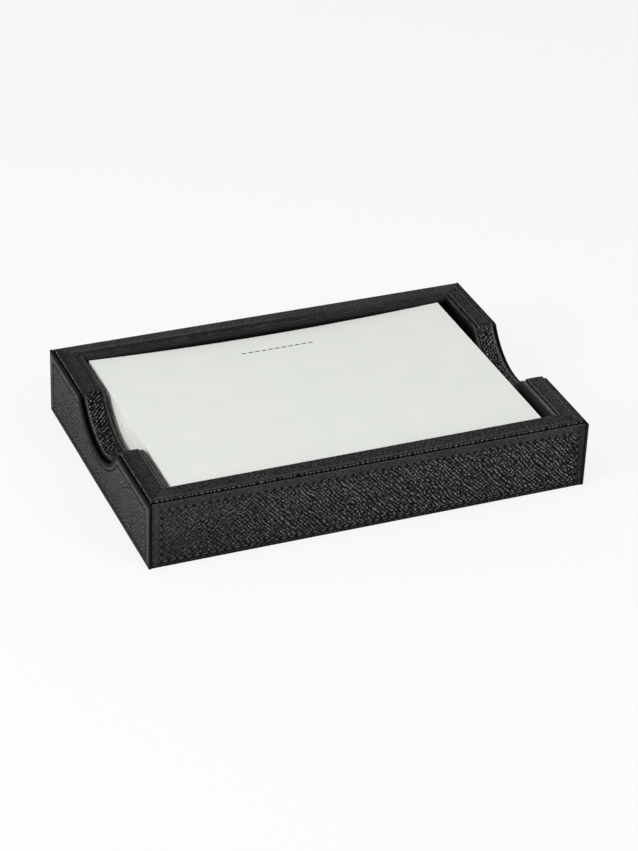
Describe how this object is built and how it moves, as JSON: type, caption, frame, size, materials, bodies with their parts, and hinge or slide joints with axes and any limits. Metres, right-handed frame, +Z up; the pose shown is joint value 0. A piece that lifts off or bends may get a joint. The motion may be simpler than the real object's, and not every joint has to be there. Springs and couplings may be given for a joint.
{
  "type": "memo tray",
  "caption": "Low rectangular leather-covered desk tray holding a stack of loose memo cards, with a round finger notch in each short wall and stitched side panels.",
  "frame": {"origin": "middle of the underside, on the surface that the tray stands on", "axes": "+X along the long front wall to the right, +Y from the front wall to the back wall, +Z up"},
  "size_m": [0.193, 0.1306, 0.031],
  "materials": {
    "panel_leather": "black cross-grained leather, semi-matt, smooth along its cut edges",
    "rim_leather": "black cross-grained leather, turned over the edge, soft sheen on the grain",
    "lining_leather": "smooth black leather, semi-matt",
    "base_leather": "smooth black leather, matt",
    "thread": "black waxed twisted thread",
    "board": "bare fibre board, inside the leather",
    "lining_board": "bare grey board, inside the leather",
    "card": "heavy matt uncoated card, cool off-white"
  },
  "bodies": {
    "tray": {"back_lining": "lining_leather", "back_lining_board": "lining_board", "back_panel": "panel_leather", "back_rim_wrap": "rim_leather", "back_stitching": "thread", "back_wall_core": "board", "base_board": "board", "base_cover": "base_leather", "floor_lining": "lining_leather", "front_lining": "lining_leather", "front_lining_board": "lining_board", "front_panel": "panel_leather", "front_rim_wrap": "rim_leather", "front_stitching": "thread", "front_wall_core": "board", "left_lining": "lining_leather", "left_lining_board": "lining_board", "left_panel": "panel_leather", "left_rim_wrap": "rim_leather", "left_stitching": "thread", "left_wall_core": "board", "right_lining": "lining_leather", "right_lining_board": "lining_board", "right_panel": "panel_leather", "right_rim_wrap": "rim_leather", "right_stitching": "thread", "right_wall_core": "board"},
    "card_stack": {"memo_cards": "card"},
    "loose_card": {"top_card": "card"}
  },
  "joints": [
    {"name": "cards_lift", "type": "slide", "parent": "tray", "child": "card_stack", "axis": [0, 0, 1], "range_m": [0, 0.04]},
    {"name": "top_card_lift", "type": "slide", "parent": "card_stack", "child": "loose_card", "axis": [0, 0, 1], "range_m": [0, 0.03]}
  ]
}
